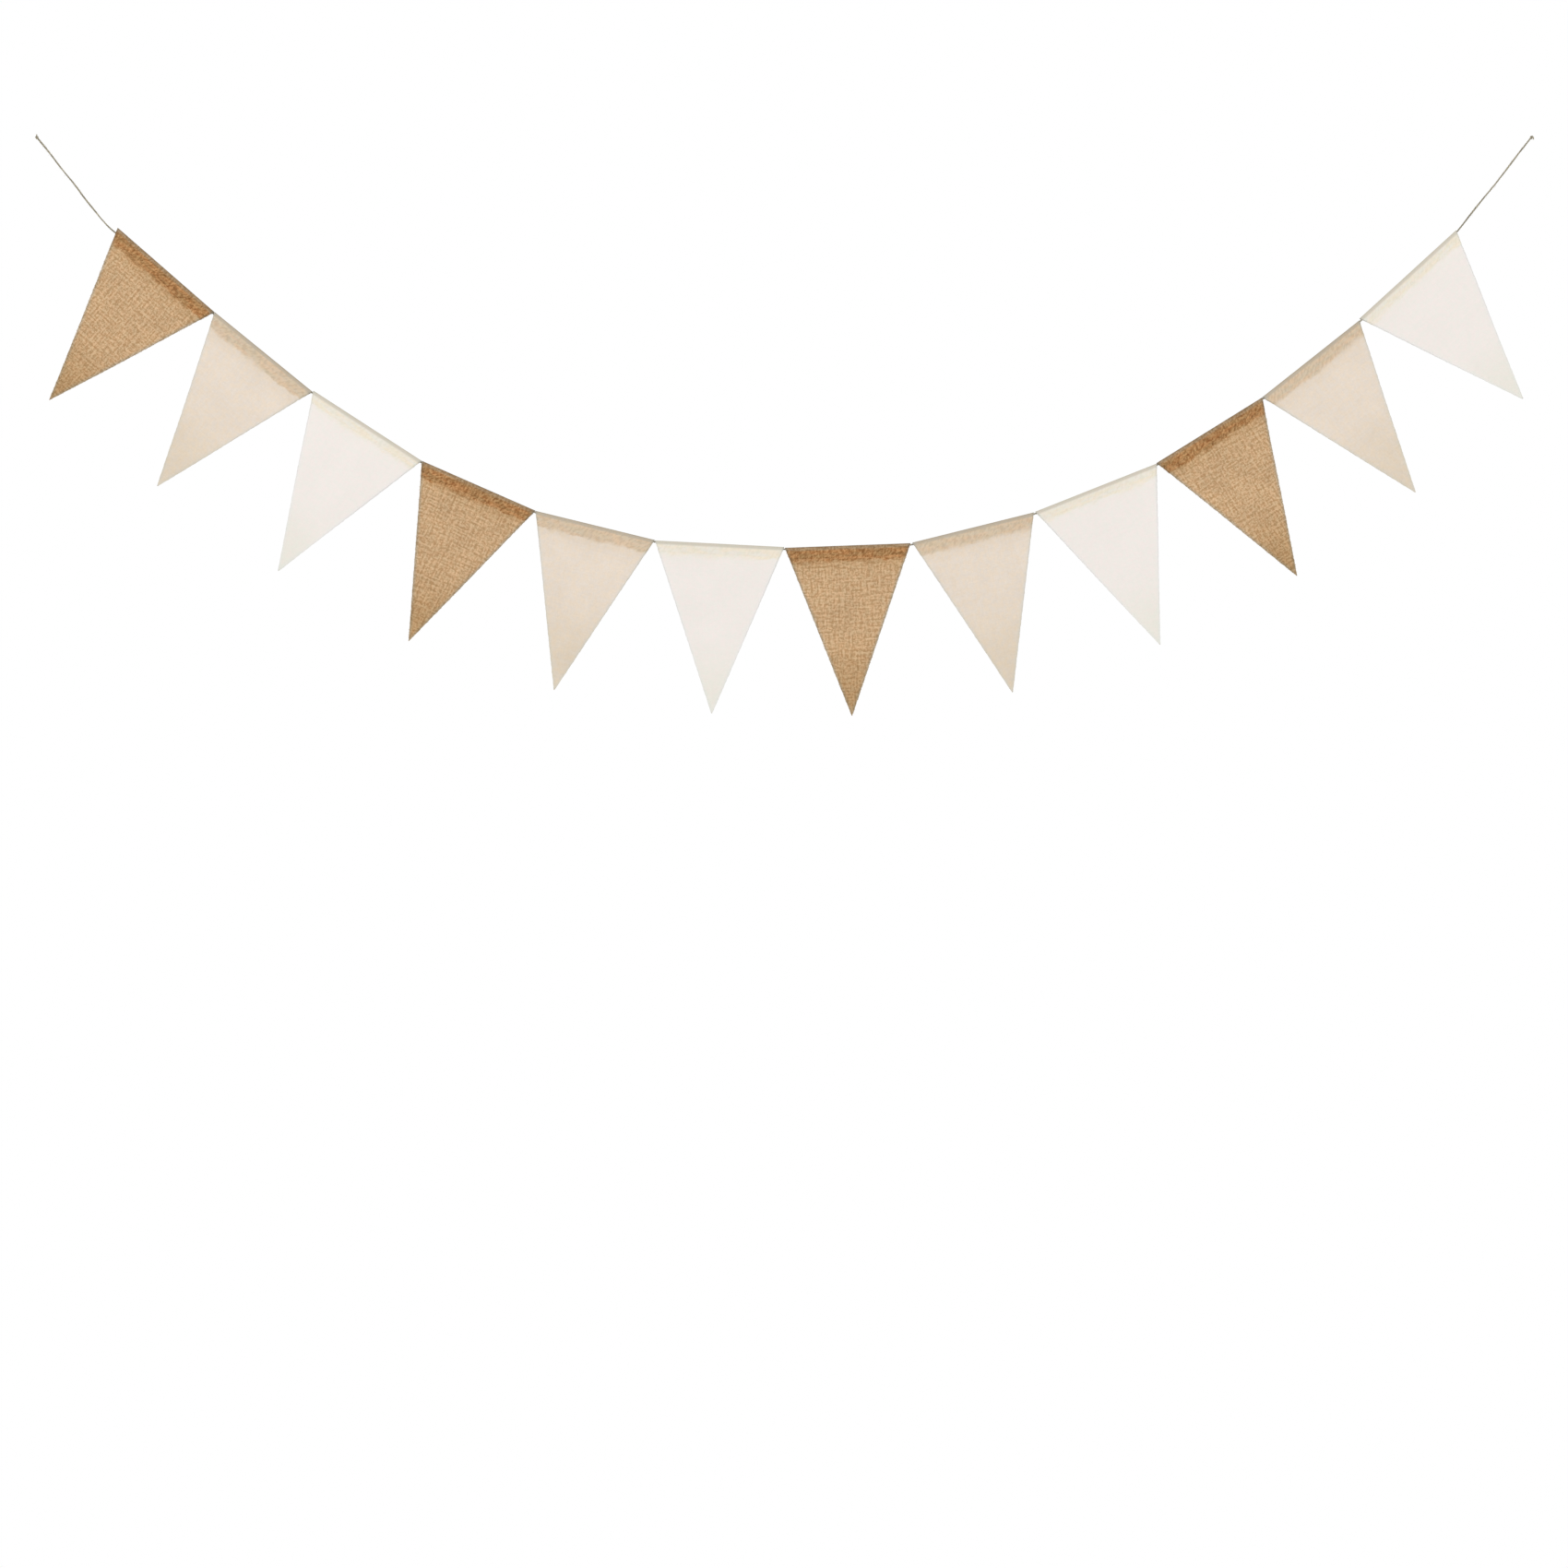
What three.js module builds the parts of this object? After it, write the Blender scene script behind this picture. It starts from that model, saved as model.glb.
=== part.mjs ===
// A bunting: twelve triangular cloth pennants threaded on one length of thin jute twine.
// Millimetres. +X runs to the right along the string, +Z is up, and the pennants' faces look along -Y.
// The origin is the knot at the twine's left end, where the string is tied up.

import * as THREE from "three";

// Driving dimensions

const twineRadius = 1;
const twineSides = 8;
const knotRadius = 1.8;
const seatGap = 0.3; // between the twine and what touches it
const bareTwine = 0.1; // left showing past each end of a hem

const clothThickness = 1.1;
const foldRadius = twineRadius + seatGap + clothThickness; // outside of the fold over the twine
const hemDepths = { tan: 15.5, beige: 15, cream: 13 }; // from the twine to the raw edge turned back
const seamAllowance = 3; // from the stitched row that closes the tunnel to the raw edge
const tipWidth = 1;

const stepsAcross = 6;
const rowsDown = 7;
const foldSegments = 3; // for each quarter of the fold
const reliefStart = 4; // depth below the twine where the cloth starts to leave its plane

// The twine hangs free from each knot to the first and the last hem, as [x, z].
const leftTail = [[0, 0], [14, -17], [29.5, -37.5], [44.5, -55.5], [58.5, -73.5], [73, -91], [84.5, -106.3]];
const rightTail = [[1695, -90], [1708.5, -73], [1722, -57], [1735.5, -39.5], [1750.5, -19.5], [1766, 0]];

// One row for each pennant, from the left. leftX to rightZ: where the twine enters and leaves its hem.
// drop: top edge to tip. lean: how far the tip lies right of the hem's middle.
// swing, twist, belly: how far the tip, the right side and the middle stand towards the back.
// cloth, leftX, leftZ, rightX, rightZ, drop, lean, swing, twist, belly
const pennantRows = [
  ["tan", 94.8, -109.2, 207.6, -207.6, 205.7, -2.3, -4, 2, 3],
  ["beige", 209.3, -208.7, 323.5, -301.8, 202, 2.4, 3, -2, 2],
  ["cream", 326.2, -301.7, 452.8, -383.7, 201.1, 4.9, -2, 3, -3],
  ["tan", 454.9, -384.7, 587.4, -442.9, 200.6, -2.4, 5, 1, 2],
  ["beige", 589.6, -443.8, 728.8, -477.8, 200.2, -0.8, -3, -3, -2],
  ["cream", 731.1, -478.7, 882.3, -486.4, 200.7, 0.8, 2, 2, 3],
  ["tan", 884.9, -487.3, 1031.6, -481.9, 200.8, -2.4, -5, -2, 2],
  ["beige", 1035.9, -480.9, 1177.8, -445.6, 200.1, -1.5, 4, 2, -2],
  ["cream", 1181.4, -444.2, 1323.4, -387.9, 200.2, 1.9, -2, -2, 3],
  ["tan", 1325.2, -386.3, 1448.5, -309.7, 200.3, -2.6, 3, 3, -2],
  ["beige", 1450.2, -308.3, 1563.5, -218.6, 200.1, -1.5, -4, -1, 2],
  ["cream", 1565.2, -215.2, 1678, -112, 200.4, 1.9, 4, -2, 2],
];

const materials = {
  tan: new THREE.MeshStandardMaterial({ color: 0xc8a67f, roughness: 0.95, metalness: 0 }),
  beige: new THREE.MeshStandardMaterial({ color: 0xe8daca, roughness: 0.92, metalness: 0 }),
  cream: new THREE.MeshStandardMaterial({ color: 0xf2eae5, roughness: 0.9, metalness: 0 }),
  twine: new THREE.MeshStandardMaterial({ color: 0xaa9b7d, roughness: 0.9, metalness: 0 }),
};

// A path of straight stretches. Each takes the same share of t, so that as many steps as stretches
// put a ring of the tube on every bend.
class Stretches extends THREE.Curve {
  constructor(points) {
    super();
    this.points = points;
  }

  getPoint(t) {
    const last = this.points.length - 1;
    const stretch = Math.min(Math.floor(t * last), last - 1);
    return this.points[stretch].clone().lerp(this.points[stretch + 1], t * last - stretch);
  }

  getPointAt(u) {
    return this.getPoint(u);
  }

  getTangentAt(u) {
    return this.getTangent(u);
  }
}

// The side of a pennant: x is depth, with the front at -x, and y is height above the twine's centre.
// A single panel hangs from the front of a fold that goes over the twine. Behind it the cloth comes
// down again, is stitched to the panel at the seam and ends at its raw edge.
function clothSection(drop, hemDepth) {
  const tip = foldRadius - drop;
  const tunnelRadius = foldRadius - clothThickness;
  const seamDepth = hemDepth - seamAllowance;
  const rowHeight = (row) => tip + ((-hemDepth - tip) * row) / rowsDown;

  const section = new THREE.Shape();
  section.moveTo(-clothThickness, tip);
  for (let row = 1; row <= rowsDown; row++) section.lineTo(-clothThickness, rowHeight(row));
  section.lineTo(-clothThickness, -seamDepth);
  section.lineTo(-foldRadius, 0);
  section.absarc(0, 0, foldRadius, Math.PI, 0, true);
  section.lineTo(clothThickness, -seamDepth);
  section.lineTo(clothThickness, -hemDepth);
  for (let row = rowsDown; row >= 0; row--) section.lineTo(0, rowHeight(row));
  section.closePath();

  const tunnel = new THREE.Path();
  tunnel.moveTo(0, -seamDepth);
  tunnel.lineTo(tunnelRadius, 0);
  tunnel.absarc(0, 0, tunnelRadius, 0, Math.PI, false);
  tunnel.closePath();
  section.holes.push(tunnel);
  return section;
}

// A pennant with its hem's middle at the origin: the section carried across from side to side, then
// narrowed in a straight line from the hem to the tip and moved back and forth as the cloth hangs.
function pennantGeometry({ hemWidth, hemDepth, drop, lean, swing, twist, belly }) {
  const geometry = new THREE.ExtrudeGeometry(clothSection(drop, hemDepth), {
    depth: 1,
    steps: stepsAcross,
    curveSegments: foldSegments,
    bevelEnabled: false,
  });
  const tip = foldRadius - drop;
  const position = geometry.getAttribute("position");
  for (let i = 0; i < position.count; i++) {
    const depth = position.getX(i);
    const height = position.getY(i);
    const across = position.getZ(i) * 2 - 1;
    const width = tipWidth + ((hemWidth - tipWidth) * (height - tip)) / -tip;
    const down = Math.max(-height - reliefStart, 0) / (-tip - reliefStart);
    const side = (across * width) / hemWidth;
    const back = swing * down + twist * side * Math.sin(Math.PI * down)
      + belly * Math.sin(Math.PI * down) * (1 - side * side);
    const leaning = (lean * (foldRadius - height)) / drop;
    position.setXYZ(i, leaning + (across * width) / 2, depth + back, height);
  }
  geometry.computeVertexNormals();
  return geometry;
}

function pennantMesh([cloth, leftX, leftZ, rightX, rightZ, drop, lean, swing, twist, belly], index) {
  const hemWidth = Math.hypot(rightX - leftX, rightZ - leftZ) - 2 * bareTwine;
  const hemDepth = hemDepths[cloth];
  const shape = pennantGeometry({ hemWidth, hemDepth, drop, lean, swing, twist, belly });
  const mesh = new THREE.Mesh(shape, materials[cloth]);
  mesh.name = `pennant_${index + 1}`;
  mesh.position.set((leftX + rightX) / 2, 0, (leftZ + rightZ) / 2);
  mesh.rotation.y = -Math.atan2(rightZ - leftZ, rightX - leftX);
  return mesh;
}

// The whole route, knot to knot.
function twineRoute() {
  const hems = pennantRows.flatMap(([, leftX, leftZ, rightX, rightZ]) => [[leftX, leftZ], [rightX, rightZ]]);
  return [...leftTail, ...hems, ...rightTail].map(([x, z]) => new THREE.Vector3(x, 0, z));
}

// The point on the way from a knot's centre towards the next bend where the tube starts.
function pastKnot(knot, next) {
  const away = next.clone().sub(knot).setLength(knotRadius + seatGap);
  return knot.clone().add(away);
}

function twineMesh(route) {
  const last = route.length - 1;
  const start = pastKnot(route[0], route[1]);
  const end = pastKnot(route[last], route[last - 1]);
  const path = new Stretches([start, ...route.slice(1, last), end]);
  const ring = new THREE.Shape();
  for (let side = 0; side < twineSides; side++) {
    const angle = (2 * Math.PI * side) / twineSides;
    const point = [twineRadius * Math.cos(angle), twineRadius * Math.sin(angle)];
    if (side === 0) ring.moveTo(...point);
    else ring.lineTo(...point);
  }
  ring.closePath();
  const tube = new THREE.ExtrudeGeometry(ring, { steps: last, extrudePath: path, bevelEnabled: false });
  const mesh = new THREE.Mesh(tube, materials.twine);
  mesh.name = "twine";
  return mesh;
}

function knotMesh(name, centre) {
  const mesh = new THREE.Mesh(new THREE.SphereGeometry(knotRadius, 10, 7), materials.twine);
  mesh.name = name;
  mesh.position.copy(centre);
  return mesh;
}

const route = twineRoute();
const bunting = new THREE.Group();
bunting.add(twineMesh(route));
bunting.add(knotMesh("knot_left", route[0]));
bunting.add(knotMesh("knot_right", route[route.length - 1]));
pennantRows.forEach((row, index) => bunting.add(pennantMesh(row, index)));

export default bunting;
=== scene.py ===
import math
from collections import namedtuple

import bpy
import numpy as np
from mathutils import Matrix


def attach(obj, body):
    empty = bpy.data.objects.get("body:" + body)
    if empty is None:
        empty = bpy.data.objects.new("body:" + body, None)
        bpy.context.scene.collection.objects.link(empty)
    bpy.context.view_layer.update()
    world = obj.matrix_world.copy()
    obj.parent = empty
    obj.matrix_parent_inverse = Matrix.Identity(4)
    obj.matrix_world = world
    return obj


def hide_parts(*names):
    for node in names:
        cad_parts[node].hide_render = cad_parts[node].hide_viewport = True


# A bunting: twelve hemmed cloth pennants threaded on one thin jute twine, knotted at both ends.
# Metres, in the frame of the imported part: +X to the right along the string, +Z up, and the faces of
# the pennants towards -Y. The origin is the knot at the left end.

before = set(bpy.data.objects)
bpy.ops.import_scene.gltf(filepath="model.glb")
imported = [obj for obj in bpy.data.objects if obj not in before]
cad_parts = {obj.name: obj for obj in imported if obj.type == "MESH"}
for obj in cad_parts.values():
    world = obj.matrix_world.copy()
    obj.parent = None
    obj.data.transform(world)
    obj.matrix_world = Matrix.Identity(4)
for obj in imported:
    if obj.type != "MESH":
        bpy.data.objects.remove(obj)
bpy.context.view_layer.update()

# Sizes that the part and the scene share, with heights and depths from the twine's centre

SEAT_GAP = 0.0003
KNOT_RADIUS = 0.0018
FOLD_TOP = 0.0024
BARE_TWINE = 0.0001
TIP_WIDTH = 0.001
RELIEF_START = 0.004
SEAM_ALLOWANCE = 0.003

# The bare twine between each knot and its hem, as (x, z). The left one lies up to 2 mm off the packed
# part's.
LEFT_TAIL = [
    (0, 0),
    (0.014, -0.017),
    (0.0295, -0.0375),
    (0.0445, -0.0555),
    (0.0575, -0.0735),
    (0.0665, -0.0843),
    (0.0745, -0.0945),
    (0.0835, -0.1047),
]
RIGHT_TAIL = [
    (1.695, -0.09),
    (1.7085, -0.073),
    (1.722, -0.057),
    (1.7355, -0.0395),
    (1.7505, -0.0195),
    (1.766, 0),
]

# left and right are the ends of the hem's middle line as (x, z). drop is the top edge to the tip, lean
# how far the tip lies right of the hem's middle, and swing, twist and belly how far the tip, the right
# side and the middle stand towards the back.
Pennant = namedtuple("Pennant", "cloth left right drop lean swing twist belly")
PENNANTS = [
    Pennant("tan", (0.0948, -0.1092), (0.2076, -0.2076), 0.2057, -0.0023, -0.004, 0.002, 0.003),
    Pennant("beige", (0.2093, -0.2087), (0.3235, -0.3018), 0.202, 0.0024, 0.003, -0.002, 0.002),
    Pennant("cream", (0.3262, -0.3017), (0.4528, -0.3837), 0.2011, 0.0049, -0.002, 0.003, -0.003),
    Pennant("tan", (0.4549, -0.3847), (0.5874, -0.4429), 0.2006, -0.0024, 0.005, 0.001, 0.002),
    Pennant("beige", (0.5896, -0.4438), (0.7288, -0.4778), 0.2002, -0.0008, -0.003, -0.003, -0.002),
    Pennant("cream", (0.7311, -0.4787), (0.8823, -0.4864), 0.2007, 0.0008, 0.002, 0.002, 0.003),
    Pennant("tan", (0.8849, -0.4873), (1.0316, -0.4819), 0.2008, -0.0024, -0.005, -0.002, 0.002),
    Pennant("beige", (1.0359, -0.4809), (1.1778, -0.4456), 0.2001, -0.0015, 0.004, 0.002, -0.002),
    Pennant("cream", (1.1814, -0.4442), (1.3234, -0.3879), 0.2002, 0.0019, -0.002, -0.002, 0.003),
    Pennant("tan", (1.3252, -0.3863), (1.4485, -0.3097), 0.2003, -0.0026, 0.003, 0.003, -0.002),
    Pennant("beige", (1.4502, -0.3083), (1.5635, -0.2186), 0.2001, -0.0015, -0.004, -0.001, 0.002),
    Pennant("cream", (1.5652, -0.2152), (1.678, -0.112), 0.2004, 0.0019, 0.004, -0.002, 0.002),
]

# The cloths. hem is the depth from the twine to the raw edge, yarn the pitch of the weave, fray how far
# a cut yarn stands out of the edge, and seed starts the random straying of yarn ends and stitches.
Cloth = namedtuple("Cloth", "thickness hem yarn fray seed")
CLOTHS = {
    "tan": Cloth(0.0009, 0.0155, 0.00125, 0.001, 24),
    "beige": Cloth(0.00065, 0.015, 0.0006, 0.0005, 38),
    "cream": Cloth(0.00065, 0.013, 0.0006, 0.0004, 38),
}
# Half of what stays open between the hem's two layers at the stitches
LAYER_GAP = 0.00002

# The twine's three plies: their radius, how far they lie from its middle, and the length of one turn
PLY_RADIUS = 0.0005
PLY_OFFSET = 0.00052
PLY_LAY = 0.009
PLY_SIDES = 6


def collect(name, mesh, material):
    """The object of a finished mesh, at the origin, in its material."""
    piece = bpy.data.objects.new(name, mesh)
    bpy.context.scene.collection.objects.link(piece)
    mesh.materials.append(material)
    return piece


# Camera, with its lens in millimetres

CAMERA_PLACE = (0.8829, -5.15, -0.7641)
SENSOR_WIDTH = 36
FOCAL_LENGTH = 100.05


def place_camera():
    """Straight at the faces, as wide as the photograph: the frame spans 1.853 m at the pennants."""
    lens = bpy.data.cameras.new("camera")
    lens.sensor_width = SENSOR_WIDTH
    lens.lens = FOCAL_LENGTH
    camera = bpy.data.objects.new("camera", lens)
    camera.location = CAMERA_PLACE
    camera.rotation_euler = (math.pi / 2, 0, 0)
    bpy.context.scene.collection.objects.link(camera)
    bpy.context.scene.camera = camera


place_camera()


# Shapes


def ease(low, high, value):
    """From 0 at low to 1 at high on a smooth S: 3 t squared less 2 t cubed, t held between 0 and 1."""
    share = np.clip((value - low) / (high - low), 0, 1)
    return share * share * (3 - 2 * share)


def unit(vectors):
    """Each vector divided by its length."""
    return vectors / np.linalg.norm(vectors, axis=-1, keepdims=True)


def distance_along(line):
    """The distance from a line's start to each of its points."""
    steps = np.linalg.norm(np.diff(line, axis=0), axis=1)
    return np.concatenate([[0], np.cumsum(steps)])


def make_mesh(name, points, face_sets, smooth_sets, uv_maps):
    """A mesh from arrays: each set of faces is an array of corner numbers, uv_maps one pair a corner."""
    corners = np.concatenate([faces.ravel() for faces in face_sets])
    sizes = np.concatenate([np.full(len(faces), faces.shape[1]) for faces in face_sets])
    smooth = np.concatenate([np.full(len(faces), flag) for faces, flag in zip(face_sets, smooth_sets)])
    mesh = bpy.data.meshes.new(name)
    mesh.vertices.add(len(points))
    mesh.vertices.foreach_set("co", points.astype(np.float32).ravel())
    mesh.loops.add(len(corners))
    mesh.loops.foreach_set("vertex_index", corners.astype(np.int32))
    mesh.polygons.add(len(sizes))
    mesh.polygons.foreach_set("loop_start", (np.cumsum(sizes) - sizes).astype(np.int32))
    mesh.polygons.foreach_set("use_smooth", smooth)
    mesh.update(calc_edges=True)
    for label, pairs in uv_maps.items():
        layer = mesh.uv_layers.new(name=label)
        layer.uv.foreach_set("vector", pairs.astype(np.float32).ravel())
    mesh.validate()
    return mesh


# A strand counts as running along Y when more than this share of its direction does.
MOSTLY = 0.75
# Each strand's fibre pattern starts this much further on than its neighbour's.
PATTERN_SHIFT = 0.0137


def strands_mesh(name, centres, radii, sides, along=None):
    """Round strands, one for each row of centres.

    Each ring of a strand stands square to its centre line, centre + radius * (cos a * first + sin a *
    second), where first is the line's direction crossed with Y, or with X for a strand that runs along
    Y, and second is square to both. The uv map holds the distance along and the share of a turn round.
    """
    count, rings = centres.shape[:2]
    radii = np.broadcast_to(radii, (count, rings))
    direction = unit(np.gradient(centres, axis=1))
    chord = unit(centres[:, -1] - centres[:, 0])
    runs_along_y = np.abs(chord[:, 1:2]) > MOSTLY
    square_to = np.where(runs_along_y, [[1.0, 0, 0]], [[0, 1.0, 0]])[:, None, :]
    first = unit(np.cross(direction, square_to))
    second = np.cross(first, direction)
    turn = np.arange(sides) * 2 * math.pi / sides
    ring = first[:, :, None] * np.cos(turn)[:, None] + second[:, :, None] * np.sin(turn)[:, None]
    points = centres[:, :, None] + radii[:, :, None, None] * ring

    number = np.arange(count * rings * sides).reshape(count, rings, sides)
    beside = np.roll(number, -1, axis=2)
    walls = np.stack([number[:, :-1], number[:, 1:], beside[:, 1:], beside[:, :-1]], axis=-1)
    starts = number[:, 0]
    ends = number[:, -1, ::-1]

    if along is None:
        steps = np.linalg.norm(np.diff(centres, axis=1), axis=2)
        along = np.concatenate([np.zeros((count, 1)), np.cumsum(steps, axis=1)], axis=1)
        along = along + np.arange(count)[:, None] * PATTERN_SHIFT
    low = np.broadcast_to(along[:, :-1, None], (count, rings - 1, sides))
    high = np.broadcast_to(along[:, 1:, None], (count, rings - 1, sides))
    share = np.broadcast_to(np.arange(sides) / sides, low.shape)
    past = share + 1 / sides
    wall_uv = np.stack(
        [np.stack(pair, axis=-1) for pair in ((low, share), (high, share), (high, past), (low, past))],
        axis=-2,
    )
    shares = np.broadcast_to(np.arange(sides) / sides, (count, sides))
    start_uv = np.stack([np.broadcast_to(along[:, :1], shares.shape), shares], axis=-1)
    end_uv = np.stack([np.broadcast_to(along[:, -1:], shares.shape), shares[:, ::-1]], axis=-1)
    pairs = np.concatenate([wall_uv.reshape(-1, 2), start_uv.reshape(-1, 2), end_uv.reshape(-1, 2)])
    face_sets = [walls.reshape(-1, 4), starts, ends]
    return make_mesh(name, points.reshape(-1, 3), face_sets, [True, False, False], {"strand": pairs})


def smooth_line(stops, spacing, spread):
    """Points evenly spaced along straight stretches, then averaged with a bell of that spread.

    The bell reaches three spreads each way. The line is first carried on past each end, turned half
    round about it, so that the ends stay put.
    """
    stops = np.asarray(stops, float)
    distance = distance_along(stops)
    count = int(round(distance[-1] / spacing)) + 1
    even = np.linspace(0, distance[-1], count)
    line = np.stack([np.interp(even, distance, stops[:, axis]) for axis in range(3)], axis=1)
    reach = int(math.ceil(3 * spread / spacing))
    before = 2 * line[0] - line[reach:0:-1]
    after = 2 * line[-1] - line[-2 : -reach - 2 : -1]
    longer = np.concatenate([before, line, after])
    bell = np.exp(-0.5 * (np.arange(-reach, reach + 1) * spacing / spread) ** 2)
    bell /= bell.sum()
    return np.stack([np.convolve(longer[:, axis], bell, mode="valid") for axis in range(3)], axis=1)


# Waves along the twine, as (share, radians a metre, start). The slow ones make it thicker and thinner,
# and the quick ones swell each ply by itself. Each ply's fibre pattern starts PLY_SHIFT further on.
SLOW_WAVES = ((0.1, 83, 0.6), (0.05, 197, 0))
QUICK_WAVES = ((0.07, 310, 2.1), (0.05, 743, 4.0))
PLY_SHIFT = 0.31


def waves(distance, table, number=1):
    """The sum over a table of share * sin(distance * rate + number * start)."""
    return sum(share * np.sin(distance * rate + number * start) for share, rate, start in table)


def plies(line, splay=1):
    """Three plies laid round a line as a screw: their centre lines, radii and distances along.

    Ply k is at line + offset * (cos a * first + sin a * second), a = 2 pi * (distance / lay + k / 3).
    The slow waves change its offset and its radius, the quick ones its radius alone. splay widens the
    offset along the line.
    """
    distance = distance_along(line)
    direction = unit(np.gradient(line, axis=0))
    first = unit(np.cross(direction, [0, 1.0, 0]))
    second = np.cross(first, direction)
    ply = np.arange(3)[:, None]
    turn = 2 * math.pi * (distance / PLY_LAY + ply / 3)
    slow = 1 + waves(distance, SLOW_WAVES)
    offset = PLY_OFFSET * slow * splay
    across = np.cos(turn)[..., None] * first + np.sin(turn)[..., None] * second
    centres = line + offset[:, None] * across
    radii = PLY_RADIUS * slow * (1 + waves(distance, QUICK_WAVES, ply))
    return centres, radii, distance + ply * PLY_SHIFT


# Twine


def flat_points(pairs):
    """(x, z) pairs as points in the plane of the string."""
    return [np.array([x, 0.0, z]) for x, z in pairs]


def past_knot(knot, onward):
    """The point just outside a knot on the way to the next bend."""
    return knot + unit(onward - knot) * (KNOT_RADIUS + SEAT_GAP)


# Inside the first hem the twine comes in low and then rises to the fold.
FIRST_HEM = [(0.0925, -0.1127), (0.1, -0.1187), (0.112, -0.1272), (0.13, -0.1401)]
LINE_PITCH = 0.0009
BEND_SPREAD = 0.004

HEM_ENDS = [end for pennant in PENNANTS for end in (pennant.left, pennant.right)]
ROUTE = flat_points(LEFT_TAIL + FIRST_HEM + HEM_ENDS[1:] + RIGHT_TAIL)
LEFT_EXIT = past_knot(ROUTE[0], ROUTE[1])
RIGHT_EXIT = past_knot(ROUTE[-1], ROUTE[-2])
TWINE_LINE = smooth_line([LEFT_EXIT, *ROUTE[1:-1], RIGHT_EXIT], LINE_PITCH, BEND_SPREAD)


def twine_mesh():
    """The twine's plies from knot to knot."""
    centres, radii, along = plies(TWINE_LINE)
    return strands_mesh("twine_strand", centres, radii, PLY_SIDES, along)


# The line of a small tight overhand knot, in millimetres: along the twine towards its cut end, down
# from it, and forward. It is entered at the first point, and over and under take turns at its three
# crossings. The left end then stands up and the right one hooks down.
KNOT_STOPS = [
    (-3.2, 0.0, 0.0),
    (-2.1, 0.0, 0.0),
    (-1.1, -0.5, -0.5),
    (0.0, 0.6, 0.6),
    (0.9, 1.4, 0.15),
    (1.4, 0.7, -0.2),
    (1.0, -0.6, -0.6),
    (0.0, -1.3, 0.0),
    (-1.0, -0.6, 0.6),
    (-1.4, 0.7, 0.2),
    (-0.9, 1.4, -0.15),
    (0.0, 0.6, -0.6),
    (1.1, -0.5, 0.5),
]
LEFT_END = [(2.0, -1.0, 0.1), (2.9, -2.2, 0.0)]
RIGHT_END = [(2.0, 0.2, 0.6), (1.4, 2.0, 0.5), (-0.4, 3.6, 0.1)]

MILLIMETRE = 0.001
KNOT_PITCH = 0.0002
KNOT_SPREAD = 0.00032
# How much tighter than the twine the knot is drawn, and how much its cut end splays and thins, with
# the points of its line that each change takes
TIGHTER = 0.35
TIGHT_FROM = 3
TIGHT_BY = 11
END_SPLAY = 0.7
SPLAY_POINTS = 6
END_THINNING = 0.45
THINNING_POINTS = 4


def knot_line(centre, exit_point, down, end):
    """The stops of the knot placed at one end of the twine, as a smooth line."""
    outward = unit(centre - exit_point)
    down = unit(down - outward * np.dot(down, outward))
    forward = np.array([0, -1.0, 0])
    stops = [
        centre + MILLIMETRE * (along * outward + below * down + ahead * forward)
        for along, below, ahead in KNOT_STOPS + end
    ]
    return smooth_line(stops, KNOT_PITCH, KNOT_SPREAD)


def knot_mesh(name, centre, exit_point, down, end):
    """The twine's plies along the line of a knot, drawn tight, with a splayed cut end."""
    line = knot_line(centre, exit_point, down, end)
    number = np.arange(len(line))
    last = len(line) - 1
    tight = 1 - TIGHTER * ease(TIGHT_FROM, TIGHT_BY, number)
    splay = tight + END_SPLAY * ease(last - SPLAY_POINTS, last, number)
    centres, radii, along = plies(line, splay)
    thin = 1 - END_THINNING * ease(last - THINNING_POINTS, last, number)
    return strands_mesh(name, centres, radii * tight * thin, PLY_SIDES, along)


# Loose hairs. lift is the share of its length that a hair rises from the twine, and lean_back how much
# of that it loses along it.
HAIR_SEED = 11
HAIRS_A_TAIL = 130
HAIRY_LENGTH = 0.118
HAIRLESS_END = 0.002
HAIR_LENGTHS = (0.0015, 0.0042)
HAIR_LIFTS = (0.25, 0.8)
HAIR_LEAN_BACK = 0.3
HAIR_DROOP = 0.0005
HAIR_ROOT = 0.0007
HAIR_RADIUS = 0.00006
HAIR_TAPER = 0.6
HAIR_POINTS = 5
HAIR_SIDES = 3
SHORT_STEP = 0.001


def twine_points(distance, seats):
    """The points at those distances along the twine's line."""
    return np.stack([np.interp(seats, distance, TWINE_LINE[:, axis]) for axis in range(3)], axis=1)


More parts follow.
